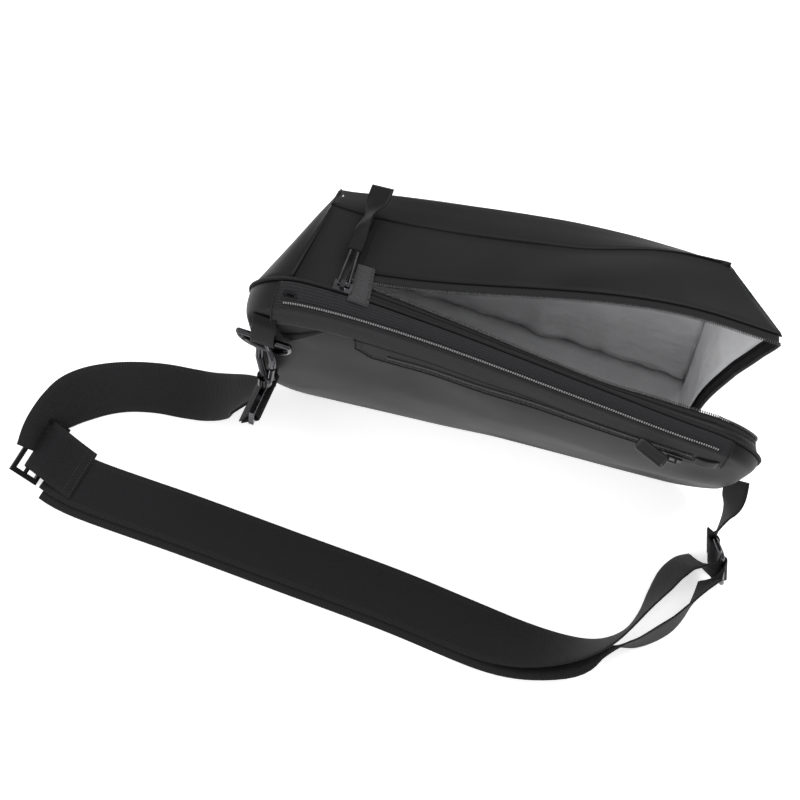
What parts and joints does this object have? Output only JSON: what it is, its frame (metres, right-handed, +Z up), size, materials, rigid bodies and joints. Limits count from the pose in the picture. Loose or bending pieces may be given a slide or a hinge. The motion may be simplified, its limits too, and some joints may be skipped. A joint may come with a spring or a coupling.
{
  "type": "sling bag",
  "caption": "Zipped sling bag lying on its long side, main compartment open, with rear zip compartment, wearer-side pocket and adjustable webbing shoulder strap on a swivel snap hook.",
  "frame": {"origin": "centre of the bottom face that the bag stands on, at the middle of the rear compartment's length", "axes": "+X along the bag's length toward the strap's rectangular ring, -Y the wearer's side, +Z up"},
  "size_m": [0.5028, 0.2771, 0.2091],
  "materials": {
    "shell_fabric": "matt black coated polyester",
    "ribbed_band": "black ribbed woven band",
    "webbing": "black ribbed nylon webbing",
    "trim_fabric": "black zip tape and folded binding",
    "lining": "light grey satin lining",
    "inner_fabric": "plain dark inner fabric",
    "zip_coil": "black nylon coil",
    "dark_metal": "black nickel",
    "black_buckle": "satin black",
    "rubber_pull": "soft black rubber",
    "foam": "closed-cell foam",
    "board": "stiffener board"
  },
  "bodies": {
    "bag": {"anchor_webbing": "webbing", "back_panel": "shell_fabric", "back_panel_foam": "foam", "base_board": "board", "bottom_panel": "shell_fabric", "compartment_zip_coil": "zip_coil", "compartment_zip_tape": "trim_fabric", "d_ring_loop": "webbing", "divider_panel": "inner_fabric", "front_facet_left": "shell_fabric", "front_panel_left": "shell_fabric", "left_end_gusset": "shell_fabric", "lining_bottom": "lining", "lining_rear": "lining", "main_zip_coil_left": "zip_coil", "main_zip_coil_rear": "zip_coil", "main_zip_tape_rear": "trim_fabric", "pocket_bag": "inner_fabric", "pocket_strip": "ribbed_band", "pocket_zip_coil": "zip_coil", "pocket_zip_end_patch": "rubber_pull", "pocket_zip_tape": "trim_fabric", "rear_gusset_band": "ribbed_band", "rear_top_strip": "shell_fabric", "right_end_strip": "shell_fabric", "seam_piping": "shell_fabric", "strap_hook_run": "webbing", "strap_lower_run": "webbing", "strap_upper_run": "webbing", "top_gusset_end": "shell_fabric", "top_gusset_left": "shell_fabric", "zip_bridge_strip": "trim_fabric"},
    "front_middle": {"front_panel_middle": "shell_fabric", "front_facet_middle": "shell_fabric", "top_gusset_middle": "shell_fabric", "lining_front_middle": "lining", "main_zip_tape_middle": "trim_fabric", "main_zip_coil_middle": "zip_coil"},
    "front_right": {"front_panel_right": "shell_fabric", "front_facet_right": "shell_fabric", "top_gusset_right": "shell_fabric", "lining_front_right": "lining", "main_zip_tape_right": "trim_fabric", "main_zip_coil_right": "zip_coil", "right_end_gusset": "shell_fabric", "top_gusset_corner": "shell_fabric"},
    "main_slider": {"main_zip_slider": "dark_metal"},
    "main_pull": {"main_zip_pull_wire": "dark_metal", "main_zip_pull_tab": "trim_fabric"},
    "compartment_slider": {"compartment_zip_slider": "dark_metal"},
    "pocket_slider": {"pocket_zip_slider": "dark_metal"},
    "pocket_tab": {"pocket_pull_tab": "rubber_pull"},
    "d_ring": {"d_ring": "dark_metal"},
    "snap_hook": {"snap_hook_body": "dark_metal"},
    "hook_eye": {"snap_hook_eye": "dark_metal", "strap_end_loop": "webbing"},
    "hook_gate": {"snap_hook_gate": "dark_metal"},
    "tri_glide": {"tri_glide": "black_buckle"},
    "right_ring": {"right_ring": "dark_metal"}
  },
  "joints": [
    {"name": "front_right_close", "type": "hinge", "parent": "bag", "child": "front_right", "pos_m": [0, 0.038, 0.002], "axis": [1, 0, 0], "range_deg": [0, 13.3]},
    {"name": "front_middle_close", "type": "hinge", "parent": "bag", "child": "front_middle", "pos_m": [0, 0.038, 0.002], "axis": [1, 0, 0], "range_deg": [0, 6.65]},
    {"name": "main_zip_slide", "type": "slide", "parent": "bag", "child": "main_slider", "axis": [1, 0, 0], "range_m": [0, 0.25], "deforming": ["zip_bridge_strip"]},
    {"name": "main_pull_lift", "type": "hinge", "parent": "main_slider", "child": "main_pull", "pos_m": [-0.1075, -0.0406, 0.194], "axis": [1, 0, 0], "range_deg": [0, 140]},
    {"name": "compartment_zip_slide", "type": "slide", "parent": "bag", "child": "compartment_slider", "axis": [1, 0, 0], "range_m": [0, 0.27]},
    {"name": "pocket_zip_slide", "type": "slide", "parent": "bag", "child": "pocket_slider", "axis": [-1, 0, 0], "range_m": [0, 0.16]},
    {"name": "pocket_tab_lift", "type": "hinge", "parent": "pocket_slider", "child": "pocket_tab", "pos_m": [0.11128, -0.07472, 0.16743], "axis": [0.3104, 0.9323, 0.1858], "range_deg": [0, 140]},
    {"name": "snap_hook_swing", "type": "hinge", "parent": "bag", "child": "snap_hook", "pos_m": [-0.15, -0.077, 0.147], "axis": [-1, 0, 0], "range_deg": [0, 10]},
    {"name": "d_ring_swing", "type": "hinge", "parent": "bag", "child": "d_ring", "pos_m": [-0.15, -0.077, 0.147], "axis": [-1, 0, 0], "range_deg": [0, 10]},
    {"name": "hook_swivel", "type": "hinge", "parent": "snap_hook", "child": "hook_eye", "pos_m": [-0.15, -0.0895, 0.08969], "axis": [0, 0.3256, 0.9455], "range_deg": [-12, 12]},
    {"name": "gate_open", "type": "hinge", "parent": "snap_hook", "child": "hook_gate", "pos_m": [-0.14425, -0.09036, 0.10427], "axis": [-0.6947, -0.6801, 0.2342], "range_deg": [0, 22], "stiffness_Nm_per_rad": 0.02},
    {"name": "tri_glide_tilt", "type": "hinge", "parent": "bag", "child": "tri_glide", "pos_m": [-0.298, -0.1722, 0.0106], "axis": [0.1736, 0.9848, 0], "range_deg": [-6, 6]},
    {"name": "right_ring_swing", "type": "hinge", "parent": "bag", "child": "right_ring", "pos_m": [0.1776, -0.085, 0.02127], "axis": [-0.257, 0.244, 0.9351], "range_deg": [-8, 8]}
  ],
  "couplings": [
    {"joint": "front_middle_close", "follows": "front_right_close", "ratio": 0.5},
    {"joint": "main_zip_slide", "follows": "front_right_close", "m_per_rad": 1.07},
    {"joint": "d_ring_swing", "follows": "snap_hook_swing", "ratio": 1}
  ]
}
